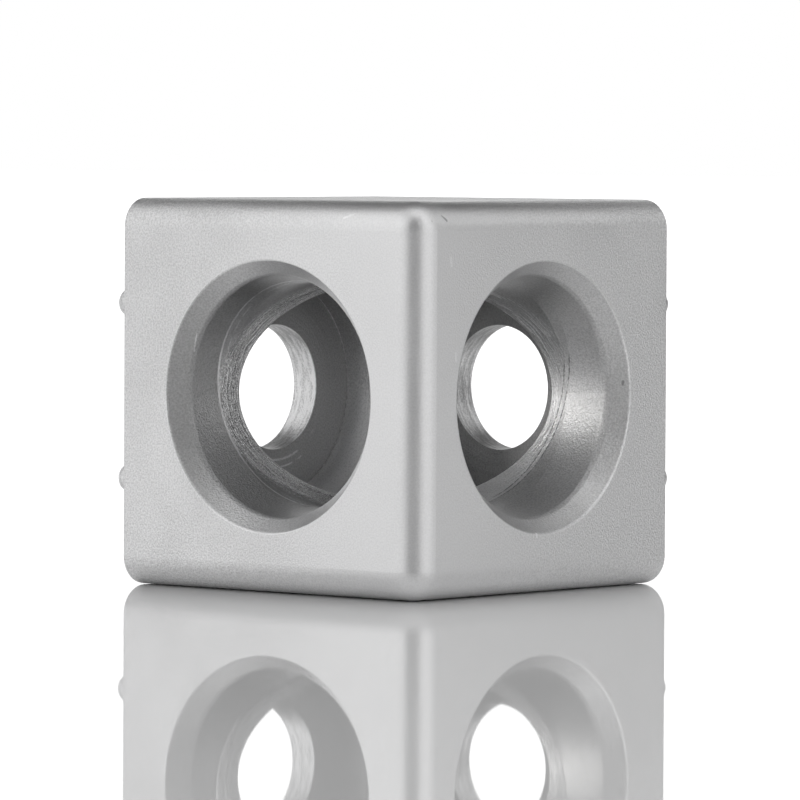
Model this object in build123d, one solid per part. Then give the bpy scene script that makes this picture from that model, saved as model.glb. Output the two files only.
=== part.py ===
"""Corner connector block for slotted aluminium profile.

A cube the size of the profile's own section stands at the corner of a frame.
Each profile butts end-on against one of the two mating faces, +X and +Y, and
one screw per profile goes in through the opposite face, down a wide bore, and
through the thin floor at the bore's end into the profile's centre hole. The
two bores cross inside, so the block is nearly hollow. Small cast nubs on the
mating faces drop into the profile's slots and stop it from turning.

Row frame: the origin is the middle of the base, with +Z up. Millimetres.
"""
import math
import os
from build123d import *

# ---- the block -------------------------------------------------------------
block_size = 20.0              # the profile's section, and the cube's side
outer_edge_radius = 1.5        # edges round the two open faces
mating_edge_radius = 0.15      # edges round the mating faces, almost sharp

# ---- the screw, one for each profile ----------------------------------------
screw_diameter = 6.0
screw_clearance = 0.6          # the hole is this much wider than the screw
head_diameter = 10.0           # socket head
head_clearance = 1.5           # room for the head and for the key's way in
seat_thickness = 1.6           # metal between a screw head and the mating face

# ---- the cast mouth of each bore ---------------------------------------------
mouth_depth = 3.3              # from the open face to where the cutter took over
mouth_draft = 10.0             # degrees, the taper that let the core pull out
mouth_chamfer_width = 0.77     # across the open face
mouth_chamfer_depth = 0.95     # into the bore
mouth_rim_radius = 0.1         # the chamfer's outer edge, worn by the blasting
mouth_blend_radius = 0.6       # the soft edge between the chamfer and the bore

# ---- the nubs on each mating face --------------------------------------------
nub_diameter = 1.5
nub_height = 1.2
nub_tip_radius = 0.5           # rounding of the free end
nub_edge_inset = 1.4           # from the block's vertical edges to a nub's middle
nub_rise = 4.55                # above and below the level of the bores
nub_root = 0.2                 # how far a nub's cylinder starts inside the face

# ---- sizes that follow -------------------------------------------------------
half = block_size / 2
bore_level = half
screw_hole_radius = (screw_diameter + screw_clearance) / 2
bore_radius = (head_diameter + head_clearance) / 2
bore_depth = block_size - seat_thickness
draft_run = mouth_depth - mouth_chamfer_depth
mouth_outer_radius = bore_radius + draft_run * math.tan(math.radians(mouth_draft))
chamfer_outer_radius = mouth_outer_radius + mouth_chamfer_width
nub_radius = nub_diameter / 2
nub_offset = half - nub_edge_inset

# The two bores run along +X and +Y, at the middle of the block's height.
along_x = Plane(origin=(0, 0, bore_level), x_dir=(0, 1, 0), z_dir=(1, 0, 0))
along_y = Plane(origin=(0, 0, bore_level), x_dir=(1, 0, 0), z_dir=(0, 1, 0))


def on_mating_face(edge):
    """True for an edge whose middle lies on the +X or the +Y face."""
    middle = edge.center()
    return max(middle.X, middle.Y) > half - 1e-6


def rounded_block():
    """The cube, well rounded round its open faces and nearly sharp elsewhere."""
    cube = Pos(0, 0, half) * Box(block_size, block_size, block_size)
    open_edges = [edge for edge in cube.edges() if not on_mating_face(edge)]
    cube = fillet(open_edges, outer_edge_radius)
    mating_edges = [edge for edge in cube.edges() if on_mating_face(edge)]
    return fillet(mating_edges, mating_edge_radius)


def screw_bore():
    """One bore as a solid of revolution about Z, from the open face at z = -half."""
    face = -half
    profile = Polyline(
        (0, face),
        (chamfer_outer_radius, face),
        (mouth_outer_radius, face + mouth_chamfer_depth),
        (bore_radius, face + mouth_depth),
        (bore_radius, face + bore_depth),
        (screw_hole_radius, face + bore_depth),
        (screw_hole_radius, half),
        (0, half),
        close=True,
    )
    section = make_face(Plane.XZ * profile)
    return revolve(section, Axis.Z)


def nub():
    """One nub as a solid of revolution about Z, rooted just inside z = half."""
    tip = half + nub_height
    shoulder = tip - nub_tip_radius
    flat = nub_radius - nub_tip_radius
    outline = [
        Line((0, half - nub_root), (nub_radius, half - nub_root)),
        Line((nub_radius, half - nub_root), (nub_radius, shoulder)),
        RadiusArc((nub_radius, shoulder), (flat, tip), -nub_tip_radius),
        Line((flat, tip), (0, tip)),
        Line((0, tip), (0, half - nub_root)),
    ]
    section = make_face(Plane.XZ * Wire(outline))
    return revolve(section, Axis.Z)


def circles(solid, radius):
    """The solid's full circular edges of one radius."""
    return [edge for edge in solid.edges().filter_by(GeomType.CIRCLE)
            if abs(edge.radius - radius) < 1e-6]


def corner_block():
    """The whole casting: rounded cube, two crossing bores, four nubs a face."""
    block = rounded_block()
    for direction in (along_x, along_y):
        block -= direction * screw_bore()
    block = fillet(circles(block, mouth_outer_radius), mouth_blend_radius)
    block = fillet(circles(block, chamfer_outer_radius), mouth_rim_radius)
    for direction in (along_x, along_y):
        for side in (-1, 1):
            for level in (-1, 1):
                place = Pos(side * nub_offset, level * nub_rise, 0)
                block += direction * place * nub()
    return block


def main():
    os.makedirs("parts", exist_ok=True)
    block = corner_block()
    export_step(block, "parts/corner_block.step")
    box = block.bounding_box()
    print("corner_block volume", round(block.volume, 2), "mm3")
    print("corner_block low", box.min, "high", box.max)
    print("chamfer outer diameter", round(2 * chamfer_outer_radius, 3))


main()
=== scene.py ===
# %% [markdown]
# This lesson dresses a corner connector block in Blender. The real one is an aluminium die casting,
# 20 mm on a side, blasted with fine beads after casting, with two wide bores cut in it afterwards.
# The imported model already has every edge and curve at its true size, so its mesh stays as it is and
# the lesson is about surfaces: grain, cutter marks, worn rims and small knocks, made from nodes.
# %% Load the frame
import math
import bpy
from mathutils import Matrix, Vector

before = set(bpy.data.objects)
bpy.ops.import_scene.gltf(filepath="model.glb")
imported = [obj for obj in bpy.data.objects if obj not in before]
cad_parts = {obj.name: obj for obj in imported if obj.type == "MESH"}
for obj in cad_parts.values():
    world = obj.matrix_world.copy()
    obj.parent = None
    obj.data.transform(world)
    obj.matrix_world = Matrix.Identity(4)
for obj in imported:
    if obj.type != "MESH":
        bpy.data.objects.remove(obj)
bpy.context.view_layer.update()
MM = 0.001
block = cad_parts["corner_block"]

# %% [markdown]
# A small part is shot from some way off with a long lens, so that its edges stay nearly parallel.
# The camera stands 3 mm higher than the top of the block and looks almost level, slightly off the
# front corner. Turning it about Z, then tilting, then rolling keeps each angle readable.
# %% Camera
camera_data = bpy.data.cameras.new("camera")
camera_data.sensor_width = 36
camera_data.lens = 286.43        # long, for a camera a third of a metre away
camera_data.clip_start = 0.01
camera = bpy.data.objects.new("camera", camera_data)
bpy.context.scene.collection.objects.link(camera)
bpy.context.scene.camera = camera
camera.location = Vector((-249.91, -215.12, 23.03)) * MM
heading = Matrix.Rotation(math.radians(-49.316), 3, "Z")
tilt = Matrix.Rotation(math.radians(90 - 2.338), 3, "X")
roll = Matrix.Rotation(math.radians(0.273), 3, "Z")
camera.rotation_euler = (heading @ tilt @ roll).to_euler()
print("camera", round(camera.location.length / MM), "mm away")

# %% [markdown]
# Blasted metal has little colour of its own. What it shows is the room, blurred. A white world at
# strength 1 is the plainest room there is: it lights a surface at just the level of its colour.
# %% White room
world = bpy.data.worlds.new("white room")
bpy.context.scene.world = world
world.use_nodes = True
world.node_tree.nodes["Background"].inputs["Color"].default_value = (1, 1, 1, 1)
world.node_tree.nodes["Background"].inputs["Strength"].default_value = 1.0
bpy.context.scene.view_settings.view_transform = "Standard"

# %% [markdown]
# In an all-white room the block would lose its edges, so studio hands hang grey cards round it.
# Here each card is a patch of a large ball round the block, given by its compass angles and heights.
# Only reflections see the cards. They cast no shadow and never stand in the picture.
#
# The front card darkens the front edge and the back one the rounded top edges. The right card sets
# the level of the right face, and the top left one tones the left face's top edge.
# Two flags hang only 90 mm away: seen from so near, a flag covers more of the room for one end of a
# flat face than for the other, and that is what shades the face. Their edges fade, or the floor
# would mirror them as hard lines. The back light, far off, brightens the floor towards the horizon.
# %% Grey cards
VIEW_HEADING = -139.1            # compass angle from the block to the camera, in degrees
BLOCK_MIDDLE = 10 * MM           # height of the ball's centre
FLAG_DISTANCE = 0.09
FADE = 4                         # a soft edge takes a quarter of the card


def card(name, left, right, low, high, grey, distance=0.6, steps=12, edge=None):
    """A curved card; left and right are degrees from the camera, low and high degrees up.

    With an edge value its sides fade from grey to that value, so its mirror image is soft.
    """
    points, faces = [], []
    for i in range(steps + 1):
        up = math.radians(low + (high - low) * i / steps)
        for j in range(steps + 1):
            turn = math.radians(VIEW_HEADING + left + (right - left) * j / steps)
            points.append((distance * math.cos(up) * math.cos(turn),
                           distance * math.cos(up) * math.sin(turn),
                           distance * math.sin(up) + BLOCK_MIDDLE))
    row = steps + 1
    for i in range(steps):
        for j in range(steps):
            a = i * row + j
            faces.append((a, a + 1, a + row + 1, a + row))
    mesh = bpy.data.meshes.new(name)
    mesh.from_pydata(points, [], faces)
    piece = bpy.data.objects.new(name, mesh)
    bpy.context.scene.collection.objects.link(piece)
    paint = bpy.data.materials.new(name)
    paint.use_nodes = True
    paint.node_tree.nodes.clear()
    glow = paint.node_tree.nodes.new("ShaderNodeEmission")
    out = paint.node_tree.nodes.new("ShaderNodeOutputMaterial")
    glow.inputs["Color"].default_value = (grey, grey, grey, 1)
    if edge is not None:
        shades = mesh.color_attributes.new("shade", "FLOAT_COLOR", "POINT")
        for i in range(row):
            for j in range(row):
                to_edge = min(j, steps - j, steps - i, 1.5 * i)    # the lower edge fades faster
                inner = min(1.0, to_edge * FADE / steps)
                shade = edge + (grey - edge) * inner
                shades.data[i * row + j].color = (shade, shade, shade, 1)
        reader = paint.node_tree.nodes.new("ShaderNodeVertexColor")
        reader.layer_name = "shade"
        paint.node_tree.links.new(reader.outputs["Color"], glow.inputs["Color"])
    paint.node_tree.links.new(glow.outputs[0], out.inputs[0])
    mesh.materials.append(paint)
    piece.visible_camera = False
    piece.visible_diffuse = False
    piece.visible_transmission = False
    piece.visible_shadow = False
    print("card", name, "grey", grey)
    return piece


card("card_front", -27, 26, -10, 55, 0.19)
card("card_right", 74, 126, 0, 80, 0.60)
card("flag_right", 91, 148, -7, 18, 0.05, distance=FLAG_DISTANCE, edge=0.6)
card("flag_left", -140, -89, 1, 36, 0.34, distance=FLAG_DISTANCE, edge=1.0)
card("card_top_left", -130, -40, 48, 86, 0.60)
card("card_back", 128, 236, 22, 89, 0.12)
card("back_light", 150, 210, -2, 20, 1.4, distance=5.0)

# %% [markdown]
# The floor is a sheet of white acrylic. Seen almost along its surface it mirrors strongly, and
# between the reflections it stays white, with a soft shadow where the block stands.
# %% Floor
floor_mesh = bpy.data.meshes.new("floor")
reach = 3.0                      # metres from the block to the floor's edges
floor_mesh.from_pydata([(-reach, -reach, 0), (reach, -reach, 0), (reach, reach, 0), (-reach, reach, 0)],
                       [], [(0, 1, 2, 3)])
floor = bpy.data.objects.new("floor", floor_mesh)
bpy.context.scene.collection.objects.link(floor)
floor.location.z = -0.03 * MM    # a hair below the block, so that the two never coincide
acrylic = bpy.data.materials.new("white_acrylic")
acrylic.use_nodes = True
shader = acrylic.node_tree.nodes["Principled BSDF"]
shader.inputs["Base Color"].default_value = (0.68, 0.68, 0.68, 1)
shader.inputs["Roughness"].default_value = 0.02
shader.inputs["IOR"].default_value = 1.36
floor_mesh.materials.append(acrylic)
print("floor", 2 * reach, "m wide")

# %% [markdown]
# One lamp does what no card can: it shines in at the left mouth and lights the far wall of the other
# bore, as a window on that side would. Its beam is about as narrow as the mouth, so hardly any of
# it falls on the face outside, and its wide round source gives the patch of light a soft edge.
# %% Lamp through the left mouth
aim = Vector((5.8, -5.3, 7.3)) * MM      # on the right bore's wall
lamp_distance = 0.2
lamp_data = bpy.data.lights.new("side_lamp", "SPOT")
lamp_data.energy = 1.15
lamp_data.color = (1.0, 0.985, 0.955)
lamp_data.spot_size = math.radians(1.7)
lamp_data.spot_blend = 0.9
lamp_data.shadow_soft_size = 4 * MM
lamp = bpy.data.objects.new("side_lamp", lamp_data)
bpy.context.scene.collection.objects.link(lamp)
towards = math.radians(159)
rise = math.radians(9.5)
lamp.location = aim + Vector((math.cos(towards) * math.cos(rise), math.sin(towards) * math.cos(rise),
                              math.sin(rise))) * lamp_distance
lamp.rotation_euler = (aim - lamp.location).to_track_quat("-Z", "Y").to_euler()
print("lamp at", [round(value / MM) for value in lamp.location], "mm")

# %% [markdown]
# From here on the lesson is one material. Its pattern has to know which part of the block a point
# belongs to: a cast face, the mouth of a bore, the wall the cutter left, the seat for a screw head.
# Object coordinates tell it, because every part lies at a known distance from a bore's middle line.
# The first helpers keep such arithmetic readable: each makes one node and hands back its output.
# %% Node helpers
metal = bpy.data.materials.new("blasted_aluminium")
metal.use_nodes = True
nodes, links = metal.node_tree.nodes, metal.node_tree.links
shader = nodes["Principled BSDF"]


def feed(socket, value):
    """Link an output to a socket, or set the socket to a plain number or vector."""
    if isinstance(value, bpy.types.NodeSocket):
        links.new(value, socket)
    else:
        socket.default_value = value


def calc(operation, *values):
    node = nodes.new("ShaderNodeMath")
    node.operation = operation
    for socket, value in zip(node.inputs, values):
        feed(socket, value)
    return node.outputs[0]


def ramp(value, start, end, low=0.0, high=1.0):
    """A soft step: low up to start, high from end on."""
    node = nodes.new("ShaderNodeMapRange")
    node.interpolation_type = "SMOOTHSTEP"
    for name, number in (("Value", value), ("From Min", start), ("From Max", end),
                         ("To Min", low), ("To Max", high)):
        feed(node.inputs[name], number)
    return node.outputs["Result"]


def blend(amount, first, second):
    """A number between first and second."""
    node = nodes.new("ShaderNodeMix")
    feed(node.inputs["Factor"], amount)
    feed(node.inputs["A"], first)
    feed(node.inputs["B"], second)
    return node.outputs["Result"]


def band(value, middle, width, soft):
    """1 within width of the middle, 0 further off than width and soft together."""
    away = calc("ABSOLUTE", calc("SUBTRACT", value, middle))
    return ramp(away, width, calc("ADD", width, soft), 1.0, 0.0)


def both(*masks):
    result = masks[0]
    for mask in masks[1:]:
        result = calc("MULTIPLY", result, mask)
    return result


def flip(mask):
    return calc("SUBTRACT", 1.0, mask)


def place(x, y, z):
    node = nodes.new("ShaderNodeCombineXYZ")
    for socket, value in zip(node.inputs, (x, y, z)):
        feed(socket, value)
    return node.outputs[0]


def cloud(where, scale, detail=2.0, roughness=0.5, shift=0.0):
    """Noise from 0 to 1, about 0.5; the scale is in cells a millimetre."""
    node = nodes.new("ShaderNodeTexNoise")
    feed(node.inputs["Vector"], where)
    node.inputs["Scale"].default_value = scale
    node.inputs["Detail"].default_value = detail
    node.inputs["Roughness"].default_value = roughness
    if shift:
        moved = nodes.new("ShaderNodeVectorMath")
        moved.operation = "ADD"
        feed(moved.inputs[0], where)
        moved.inputs[1].default_value = (shift, shift * 0.7, -shift * 1.3)
        links.new(moved.outputs[0], node.inputs["Vector"])
    return node.outputs[0]


# %% [markdown]
# Blender's unit is the metre, and a pattern 0.08 mm fine is easier to think of in millimetres, so
# the coordinates are scaled first. Then come the two distances that everything else hangs on: how
# far a point is from the middle line of the bore along X, and of the bore along Y.
# %% Where a point is
coordinates = nodes.new("ShaderNodeTexCoord").outputs["Object"]
to_mm = nodes.new("ShaderNodeVectorMath")
to_mm.operation = "SCALE"
links.new(coordinates, to_mm.inputs[0])
to_mm.inputs["Scale"].default_value = 1000.0
point = to_mm.outputs[0]
split = nodes.new("ShaderNodeSeparateXYZ")
links.new(point, split.inputs[0])
x, y, z = split.outputs
HALF = 10.0                      # millimetres, half of the block's side
BORE = 5.75                      # radius of a bore
RIM = 6.93                       # radius of the chamfer's outer rim
level = calc("SUBTRACT", z, HALF)
from_x_line = calc("SQRT", calc("ADD", calc("MULTIPLY", y, y), calc("MULTIPLY", level, level)))
from_y_line = calc("SQRT", calc("ADD", calc("MULTIPLY", x, x), calc("MULTIPLY", level, level)))
print("nodes so far", len(nodes))

# %% [markdown]
# A surface point inside a mouth or on a seat belongs to the bore whose middle line it goes round.
# On the wall deeper in, it lies one bore radius from its own line and farther from the other. So
# the bore along Y owns a point that is near its radius, in its mouth, or on its seat.
# %% Which bore
wall_y = band(from_y_line, BORE, 0.03, 0.01)
mouth_y = both(ramp(y, -6.5, -6.49, 1.0, 0.0), ramp(from_y_line, 7.0, 7.01, 1.0, 0.0))
seat_y = both(ramp(y, 8.34, 8.36), ramp(from_y_line, 5.8, 5.81, 1.0, 0.0))
in_y = calc("MAXIMUM", calc("MAXIMUM", wall_y, mouth_y), seat_y)
inside = both(ramp(calc("MINIMUM", from_x_line, from_y_line), 6.96, 6.98, 1.0, 0.0),
              ramp(calc("MAXIMUM", x, y), 9.9, 9.92, 1.0, 0.0),
              ramp(calc("ABSOLUTE", level), 8.0, 8.1, 1.0, 0.0))
depth = calc("ADD", blend(in_y, x, y), HALF)
radius = blend(in_y, from_x_line, from_y_line)
across = blend(in_y, y, x)
ridge_gap = calc("SUBTRACT", calc("MAXIMUM", from_x_line, from_y_line), BORE)
print("bore masks ready, nodes", len(nodes))

# %% [markdown]
# Each bore has zones along its depth: the chamfer and the cast mouth, still blasted; the wall from
# which the cutter took metal; the seat for the screw head; and the drilled hole. The casting sits a
# little off the cutter's line, so the wall begins earlier on one side than on the other.
# %% Zones of a bore
start_x = calc("ADD", 3.35, calc("ADD", calc("MULTIPLY", across, -0.10), calc("MULTIPLY", level, -0.115)))
start_y = calc("ADD", 3.99, calc("ADD", calc("MULTIPLY", across, -0.126), calc("MULTIPLY", level, -0.20)))
past_start = calc("SUBTRACT", depth, blend(in_y, start_x, start_y))
chamfer = both(inside, ramp(depth, 0.9, 1.15, 1.0, 0.0))
cut_wall = both(inside, ramp(past_start, -0.02, 0.02),
                ramp(depth, 18.3, 18.32, 1.0, 0.0))
cast_mouth = both(inside, flip(chamfer), flip(cut_wall), ramp(depth, 5.0, 5.1, 1.0, 0.0))
seat = both(inside, band(depth, 18.4, 0.05, 0.01), ramp(radius, 5.74, 5.75, 1.0, 0.0))
hole = both(inside, ramp(depth, 18.45, 18.46))
print("zones ready, nodes", len(nodes))

# %% [markdown]
# Blasting leaves thousands of shallow dimples, about 0.1 mm across. Two layers of noise make them,
# one finer than the other, and wide soft clouds change their depth, because no blast is even. The
# top has no clouds, for it mirrors the dark back card and they would show as stains. The front edge
# was handled most and its grain is rubbed smoother than the far ends.
# %% Blasted grain
worn_front = ramp(calc("ADD", x, y), -19.0, -3.0, 0.25, 1.0)
top_face = ramp(z, 19.5, 19.95)
patchy = blend(top_face, ramp(cloud(point, 0.25, 2.0), 0.3, 0.7, 0.7, 1.2), 0.95)
coarse_grain = calc("SUBTRACT", cloud(point, 10.0, 2.0, 0.6), 0.5)
fine_grain = calc("SUBTRACT", cloud(point, 17.0, 1.0, 0.5, 3.0), 0.5)
grain = calc("ADD", calc("MULTIPLY", coarse_grain, 0.044), calc("MULTIPLY", fine_grain, 0.014))
cast_skin = flip(calc("MAXIMUM", cut_wall, calc("MAXIMUM", seat, hole)))
roof = both(inside, ramp(level, 1.5, 4.5))      # the upper part inside the bores, not the block's top
grain_depth = both(worn_front, patchy, blend(cast_skin, 0.55, 1.0), blend(roof, 1.0, 0.4),
                   blend(both(cast_mouth, in_y), 1.0, 0.55))
grain_height = calc("MULTIPLY", grain, grain_depth)
print("grain ready, nodes", len(nodes))

# %% [markdown]
# Where the cutter worked in short strokes the wall has rough ridges that run beside the edge where
# the bores cross. The pattern is stretched noise: quick steps away from that edge, slow ones along
# it. A second, sharper noise adds the torn flakes that glitter.
# %% Cutter ridges
ridge_room = both(cut_wall, ramp(ridge_gap, 1.0, 1.9, 1.0, 0.0))
wander = calc("MULTIPLY", calc("SUBTRACT", cloud(point, 0.9, 1.0), 0.5), 0.35)
ridge_line = place(calc("MULTIPLY", calc("ADD", ridge_gap, wander), 9.0),
                   calc("MULTIPLY", level, 0.7), calc("MULTIPLY", across, 0.7))
ridges = calc("SUBTRACT", cloud(ridge_line, 1.0, 2.0, 0.6), 0.5)
flakes = calc("SUBTRACT", cloud(point, 9.0, 2.0, 0.7, 9.0), 0.5)
flake_height = calc("MULTIPLY", flakes, ramp(level, -3.5, -1.0, 0.10, 0.045))
ridge_height = both(ridge_room, blend(in_y, 1.0, 0.5),
                    calc("ADD", calc("MULTIPLY", ridges, 0.16), flake_height))
turning = calc("SUBTRACT", cloud(place(calc("MULTIPLY", depth, 6.0), calc("MULTIPLY", level, 0.25),
                                       calc("MULTIPLY", across, 0.25)), 1.0, 2.0), 0.5)
turning_height = both(cut_wall, flip(ridge_room), calc("MULTIPLY", turning, 0.012))
print("ridges ready, nodes", len(nodes))

# %% [markdown]
# The seat was faced and the hole was drilled. Facing leaves rings round the hole, drilling leaves
# rings along it, and both are stretched noise again, in the seat by radius and in the hole by depth.
# %% Rings on the seat and in the hole
rings = calc("SUBTRACT", cloud(place(calc("MULTIPLY", radius, 4.0), calc("MULTIPLY", level, 0.12),
                                     calc("MULTIPLY", across, 0.12)), 1.0, 2.5, 0.6), 0.5)
ring_height = both(seat, calc("MULTIPLY", rings, 0.02))
drilled = calc("SUBTRACT", cloud(place(calc("MULTIPLY", depth, 5.0), calc("MULTIPLY", level, 0.8),
                                       calc("MULTIPLY", across, 0.8)), 1.0, 2.0, 0.6), 0.5)
drilled_height = both(hole, calc("MULTIPLY", drilled, 0.05))
print("rings ready, nodes", len(nodes))

# %% [markdown]
# A bump node turns all the heights, here in millimetres, into slopes that the light can catch.
# %% Bump
height = grain_height
for layer in (ridge_height, turning_height, ring_height, drilled_height):
    height = calc("ADD", height, layer)
bump = nodes.new("ShaderNodeBump")
bump.inputs["Strength"].default_value = 1.0
bump.inputs["Distance"].default_value = MM
links.new(height, bump.inputs["Height"])
links.new(bump.outputs[0], shader.inputs["Normal"])
print("bump made of 5 layers")

# %% [markdown]
# The ridges also show as light and dark, painted: highlights on crests and shade in grooves. In the
# bore along X they are torn, with a painted highlight on the step where the cutter began, a painted
# glint along the burred edge where the bores cross, and painted glints on flakes, thickest low on the
# wall, which is painted lighter there. In the other bore they are fine, with painted highlights on a
# few crests, and two beaded dark lines mark the beginning of the cut.
# %% Cutter marks as light and dark
low_side = ramp(level, -1.0, 2.5, 1.0, 0.25)
flake_glints = ramp(cloud(point, 8.0, 2.5, 0.75, 5.0), 0.52, 0.60)
crest_highlights = ramp(ridges, 0.05, 0.12)
groove_shade = ramp(ridges, -0.16, -0.06, 1.0, 0.0)
torn = both(ridge_room, flip(in_y))
ledge_highlight = both(inside, flip(in_y), band(past_start, 0.02, 0.03, 0.05), ramp(cloud(point, 1.3), 0.28, 0.42))
second_ledge_highlight = both(inside, flip(in_y), band(past_start, 0.42, 0.02, 0.05),
                    ramp(cloud(point, 1.7, 1.0, 0.5, 4.0), 0.42, 0.5))
burr_glint = both(torn, ramp(calc("ADD", ridge_gap, calc("MULTIPLY", flakes, 0.9)), 0.14, 0.26, 1.0, 0.0),
            ramp(flakes, -0.12, -0.02), ramp(level, -3.0, -1.0, 0.3, 1.0))
beads = ramp(cloud(point, 5.0, 1.0, 0.5, 2.0), 0.42, 0.50)
bead_line = calc("MAXIMUM", band(past_start, 0.0, 0.025, 0.03), band(past_start, 0.30, 0.025, 0.03))
bead_room = both(inside, in_y, ramp(level, 1.6, 2.2, 1.0, 0.0), ramp(across, 1.5, 2.5))
beaded = both(bead_line, bead_room, blend(beads, 0.35, 1.0))
fine_crest_highlights = both(ridge_room, in_y, crest_highlights, ramp(level, 0.5, 2.0), ramp(across, 4.9, 5.4, 1.0, 0.0))
print("cutter marks ready, nodes", len(nodes))

# %% [markdown]
# A drilled hole's wall is streaked round and round, and the seat has a few light scratches where
# chips were dragged in a circle. A painted highlight makes a thin bright line on part of each rim.
# Seen slantwise, each mouth shows the hole of the other bore: the left one shows the hole at +Y.
# %% Streaks, arcs and rims
streaks = ramp(drilled, -0.13, 0.12, 0.82, 1.25)
# painted shade: each hole's wall darker above and below its middle, one hole darker than the other
hole_shade = ramp(calc("ABSOLUTE", calc("ADD", level, 0.4)), 1.4, 3.1, 1.0, 0.56)
hole_tone = both(streaks, hole_shade, blend(in_y, 0.85, 1.13))
arc_room = both(seat, in_y, ramp(level, -2.0, -3.0), ramp(cloud(point, 0.8, 1.0, 0.5, 7.0), 0.40, 0.52))
arcs = both(arc_room, calc("MAXIMUM", band(radius, 3.85, 0.03, 0.06), band(radius, 4.25, 0.02, 0.05)))
rim_highlight_x = both(band(from_x_line, RIM, 0.03, 0.05), ramp(x, -9.9, -9.8, 1.0, 0.0),
              ramp(level, -1.0, 1.5, 1.0, 0.0), ramp(y, -3.0, 0.0))
rim_highlight_y = both(band(from_y_line, RIM, 0.03, 0.05), ramp(y, -9.9, -9.8, 1.0, 0.0),
              ramp(level, 1.0, 4.5, 1.0, 0.0), ramp(x, -1.5, 1.5))
rim_highlight = calc("MAXIMUM", rim_highlight_x, rim_highlight_y)
print("streaks, arcs and rims ready, nodes", len(nodes))

# %% [markdown]
# A few single marks make it one block and not any block: nicks, a scratch, a speck of dirt. Each is
# the distance from a short line, so it is as long and as wide as it is said to be, in millimetres.
# %% Single marks


def stroke(start, end, width, soft=0.05):
    """A mask that follows a straight scratch from start to end."""
    start, end = Vector(start), Vector(end)
    length = (end - start).length
    from_start = nodes.new("ShaderNodeVectorMath")
    from_start.operation = "SUBTRACT"
    feed(from_start.inputs[0], point)
    from_start.inputs[1].default_value = start
    along = nodes.new("ShaderNodeVectorMath")
    along.operation = "DOT_PRODUCT"
    links.new(from_start.outputs[0], along.inputs[0])
    along.inputs[1].default_value = (end - start) / length
    reached = calc("MINIMUM", calc("MAXIMUM", along.outputs["Value"], 0.0), length)
    nearest = nodes.new("ShaderNodeVectorMath")
    nearest.operation = "SCALE"
    nearest.inputs[0].default_value = (end - start) / length
    links.new(reached, nearest.inputs["Scale"])
    away = nodes.new("ShaderNodeVectorMath")
    away.operation = "DISTANCE"
    links.new(from_start.outputs[0], away.inputs[0])
    links.new(nearest.outputs[0], away.inputs[1])
    return ramp(away.outputs["Value"], width, width + soft, 1.0, 0.0)


def strongest(masks):
    result = masks[0]
    for mask in masks[1:]:
        result = calc("MAXIMUM", result, mask)
    return result


bright_marks = strongest([
    stroke((-9.22, 5.56, 13.10), (-9.08, 5.88, 12.15), 0.02),     # nick inside the left mouth's rim
    stroke((-0.66, -10.0, 3.28), (-0.57, -10.0, 2.92), 0.03),     # scratch under the right mouth
])
soft_marks = strongest([
    stroke((-7.45, -10.0, 17.20), (-7.40, -10.0, 16.80), 0.05),   # faint marks beside the front edge
    stroke((-7.05, -10.0, 12.40), (-7.02, -10.0, 12.00), 0.04),
    stroke((-7.60, -9.95, 19.30), (-7.52, -10.0, 19.00), 0.05),
    stroke((-9.90, -5.00, 19.13), (-9.80, -5.60, 19.36), 0.05),   # scuff below the left top edge
])
dark_marks = strongest([
    stroke((6.66, -9.74, 10.62), (6.72, -9.66, 10.46), 0.05),     # speck on the right mouth's chamfer
    stroke((-8.99, -9.85, 19.32), (-8.80, -9.95, 19.02), 0.05),   # dents below the top edge
    stroke((-7.95, -9.85, 19.32), (-7.68, -9.95, 19.05), 0.06),
])
print("marks made, nodes", len(nodes))
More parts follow.
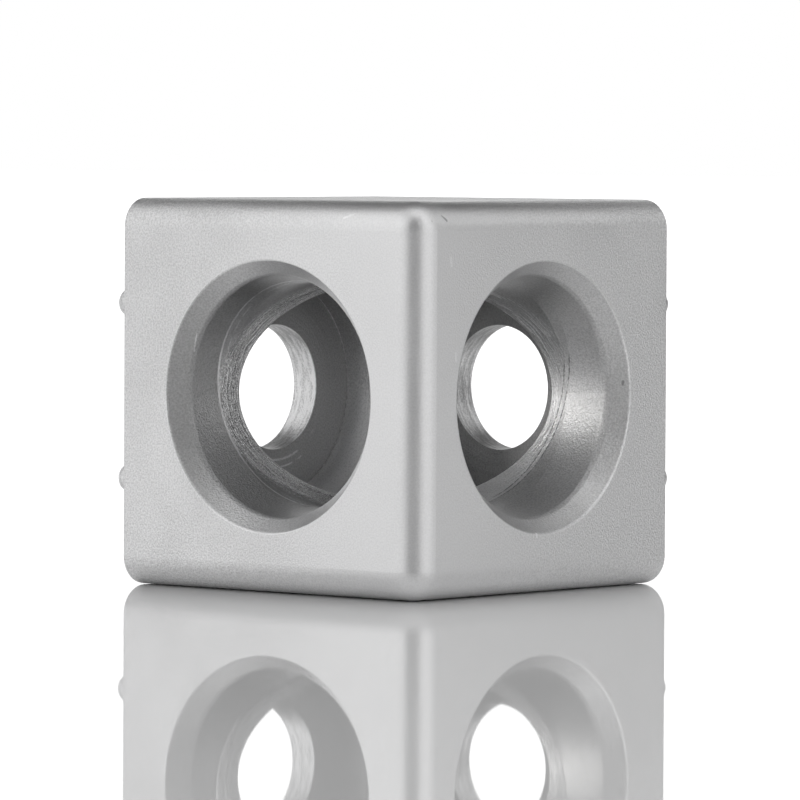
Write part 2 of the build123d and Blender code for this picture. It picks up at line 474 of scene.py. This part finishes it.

# %% [markdown]
# Colour does little on bare aluminium, but not nothing. Dimples hold a film of dust. The mouths,
# seats and cut walls carry painted shade and painted light, lighter or darker with height. Each zone's
# tone multiplies the metal's own, and the result stays at or below 0.97, because no metal gives back
# more light than falls on it.
#
# Inside the bores the tones also stand in for light that this simple room lacks. They were set
# one bore apart from the other, so under other light the two bores differ a little.
# %% Colour
METAL = (0.82, 0.82, 0.825)
BRIGHTEST = 0.97
speckle = ramp(coarse_grain, -0.22, 0.22, 0.84, 1.14)
# painted shade: the left mouth's chamfer is darker on its far side
shadowed = both(chamfer, flip(in_y), ramp(across, 1.5, 6.0))
tones = [
    # painted shade: each chamfer has its own level, the right one darker
    blend(chamfer, 1.0, blend(in_y, 0.98, 0.79)),
    blend(shadowed, 1.0, 0.62),
    # painted shade and light: each cast mouth lighter or darker with height
    blend(cast_mouth, 1.0, blend(in_y, ramp(level, -4.5, -1.0, 0.70, 0.57),
                                 ramp(level, 2.0, 5.0, 0.84, 0.66))),
    # painted light low on the right bore's cut wall, painted shade high on it
    blend(both(cut_wall, in_y), 1.0, ramp(level, -1.5, 3.5, 1.16, 0.66)),
    # painted shade: dark seats, one darker than the other
    blend(seat, 1.0, blend(in_y, 0.38, 0.56)),
    # painted shade on the left bore's cut wall
    blend(both(cut_wall, flip(in_y), flip(ridge_room)), 1.0, 0.66),
    # painted light: the torn wall lighter low down, with painted glints on flakes
    blend(torn, 1.0, calc("ADD", ramp(level, -3.0, 1.0, 0.82, 0.74), both(flake_glints, low_side, 3.0))),
    # painted highlights on the ridges' crests and painted shade in their grooves
    blend(both(torn, crest_highlights), 1.0, 1.7),
    blend(both(torn, groove_shade), 1.0, 0.62),
    # painted highlights on the two steps where the cutter began
    blend(ledge_highlight, 1.0, ramp(level, 0.5, 4.0, 2.3, 1.5)),
    blend(second_ledge_highlight, 1.0, 1.3),
    # painted glint along the burred edge where the bores cross
    blend(burr_glint, 1.0, 3.0),
    blend(beaded, 1.0, 0.42),
    # painted highlights on a few crests in the bore along Y
    blend(fine_crest_highlights, 1.0, 1.5),
    # drilled streaks with painted shade
    blend(hole, 1.0, hole_tone),
    blend(arcs, 1.0, 1.6),
    # painted highlight: a thin bright line on part of each mouth's rim
    blend(rim_highlight, 1.0, 1.25),
    blend(worn_front, 1.0, speckle),
    blend(bright_marks, 1.0, 2.0),
    blend(soft_marks, 1.0, 1.12),
    blend(dark_marks, 1.0, 0.55),
]
tone = tones[0]
for factor in tones[1:]:
    tone = calc("MULTIPLY", tone, factor)
tone = calc("MINIMUM", tone, BRIGHTEST / METAL[2])
tint = nodes.new("ShaderNodeVectorMath")
tint.operation = "SCALE"
tint.inputs[0].default_value = METAL
links.new(tone, tint.inputs["Scale"])
links.new(tint.outputs[0], shader.inputs["Base Color"])
shader.inputs["Metallic"].default_value = 1.0
rubbed_top = both(ramp(z, 18.4, 18.8), ramp(y, -8.4, -8.8), ramp(x, -8.0, -7.0))    # right top edge
gloss = blend(calc("MAXIMUM", cast_mouth, cut_wall), 0.40, 0.33)
gloss = blend(both(in_y, calc("MAXIMUM", cast_mouth, cut_wall)), gloss, 0.44)
gloss = blend(rubbed_top, gloss, 0.32)
gloss = blend(torn, gloss, 0.24)
gloss = blend(seat, gloss, 0.45)
uneven = calc("MULTIPLY", calc("SUBTRACT", patchy, 0.95), 0.05)
links.new(calc("ADD", gloss, uneven), shader.inputs["Roughness"])
for slot in block.material_slots:
    slot.material = metal
print("nodes in the metal", len(nodes))
